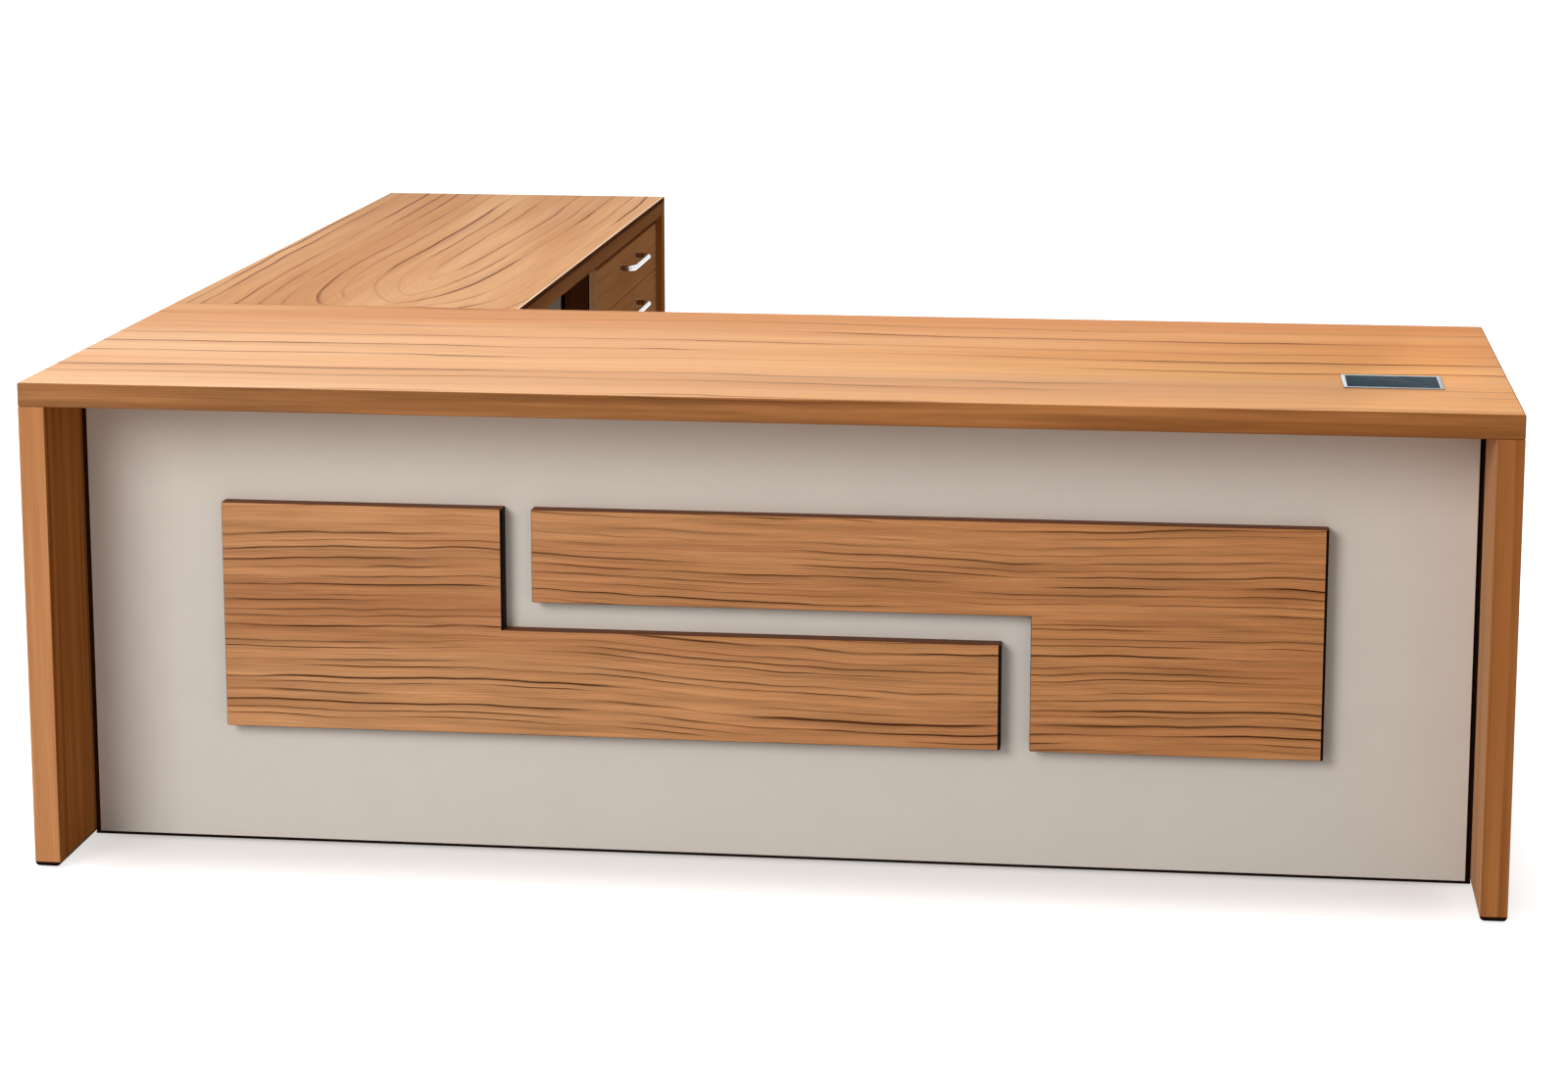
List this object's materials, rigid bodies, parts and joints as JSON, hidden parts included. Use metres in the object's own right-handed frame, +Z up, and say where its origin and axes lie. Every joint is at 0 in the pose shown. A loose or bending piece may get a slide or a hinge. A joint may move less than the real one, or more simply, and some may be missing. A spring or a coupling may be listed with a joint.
{
  "type": "executive desk",
  "caption": "L-shaped executive desk with slab sides, a side return with a drawer pedestal, a modesty panel with interlocking wood plates and a flip-top power box.",
  "frame": {"origin": "centre of the footprint's bounding box, on the floor", "axes": "+X to the right seen from the visitor's side, +Y from the visitor's side to the sitter's side, +Z up"},
  "size_m": [2.2, 2.4, 0.7516],
  "materials": {
    "top_veneer": "satin lacquered teak veneer",
    "side_veneer": "satin lacquered teak veneer, upright grain",
    "plate_veneer": "satin lacquered veneer, level grain, black edges",
    "front_veneer": "satin lacquered veneer, level grain",
    "greige_board": "matt melamine-faced board",
    "dark_wood": "dark stained board",
    "drawer_board": "pale melamine-faced board",
    "black_trim": "matt black edging",
    "glide_plastic": "hard plastic glide",
    "zinc_steel": "zinc-plated sheet steel",
    "chrome": "bright chrome plating",
    "rim_metal": "satin anodised aluminium",
    "lid_gloss": "dark blue-grey gloss",
    "box_plastic": "moulded black plastic",
    "socket_plastic": "moulded dark grey plastic"
  },
  "bodies": {
    "desk": {"main_top": "top_veneer", "return_top": "top_veneer", "left_side_panel": "side_veneer", "right_side_panel": "side_veneer", "return_end_panel": "side_veneer", "modesty_panel": "greige_board", "return_back_panel": "greige_board", "panel_trim": "black_trim", "front_plate_left": "plate_veneer", "front_plate_right": "plate_veneer", "pedestal_side_near": "greige_board", "pedestal_side_far": "greige_board", "pedestal_stile": "dark_wood", "pedestal_shadow_strip": "black_trim", "pedestal_floor": "greige_board", "pedestal_back": "drawer_board", "pedestal_rails": "dark_wood", "pedestal_plinth": "dark_wood", "runner_fixed_1": "zinc_steel", "runner_fixed_2": "zinc_steel", "runner_fixed_3": "zinc_steel", "glides": "glide_plastic", "seam_plates": "zinc_steel", "corner_brackets": "zinc_steel", "wood_screws": "zinc_steel", "power_frame": "rim_metal", "power_housing": "box_plastic", "power_sockets": "socket_plastic", "power_cord_inlet": "box_plastic"},
    "drawer_1": {"drawer_1_front": "front_veneer", "drawer_1_box": "drawer_board", "drawer_1_bottom": "drawer_board", "drawer_1_handle": "chrome", "drawer_1_screws": "zinc_steel", "runner_inner_1": "zinc_steel"},
    "runner_1": {"runner_middle_1": "zinc_steel"},
    "drawer_2": {"drawer_2_front": "front_veneer", "drawer_2_box": "drawer_board", "drawer_2_bottom": "drawer_board", "drawer_2_handle": "chrome", "drawer_2_screws": "zinc_steel", "runner_inner_2": "zinc_steel"},
    "runner_2": {"runner_middle_2": "zinc_steel"},
    "drawer_3": {"drawer_3_front": "front_veneer", "drawer_3_box": "drawer_board", "drawer_3_bottom": "drawer_board", "drawer_3_handle": "chrome", "drawer_3_screws": "zinc_steel", "runner_inner_3": "zinc_steel"},
    "runner_3": {"runner_middle_3": "zinc_steel"},
    "lid": {"power_lid": "lid_gloss", "power_hinge_pin": "zinc_steel"}
  },
  "joints": [
    {"name": "drawer_1_slide", "type": "slide", "parent": "desk", "child": "drawer_1", "axis": [1, 0, 0], "range_m": [0, 0.42]},
    {"name": "runner_1_slide", "type": "slide", "parent": "desk", "child": "runner_1", "axis": [1, 0, 0], "range_m": [0, 0.21]},
    {"name": "drawer_2_slide", "type": "slide", "parent": "desk", "child": "drawer_2", "axis": [1, 0, 0], "range_m": [0, 0.42]},
    {"name": "runner_2_slide", "type": "slide", "parent": "desk", "child": "runner_2", "axis": [1, 0, 0], "range_m": [0, 0.21]},
    {"name": "drawer_3_slide", "type": "slide", "parent": "desk", "child": "drawer_3", "axis": [1, 0, 0], "range_m": [0, 0.42]},
    {"name": "runner_3_slide", "type": "slide", "parent": "desk", "child": "runner_3", "axis": [1, 0, 0], "range_m": [0, 0.21]},
    {"name": "lid_hinge", "type": "hinge", "parent": "desk", "child": "lid", "pos_m": [0.926, -0.9994, 0.7486], "axis": [1, 0, 0], "range_deg": [0, 95]}
  ],
  "couplings": [
    {"joint": "runner_1_slide", "follows": "drawer_1_slide", "ratio": 0.5},
    {"joint": "runner_2_slide", "follows": "drawer_2_slide", "ratio": 0.5},
    {"joint": "runner_3_slide", "follows": "drawer_3_slide", "ratio": 0.5}
  ]
}
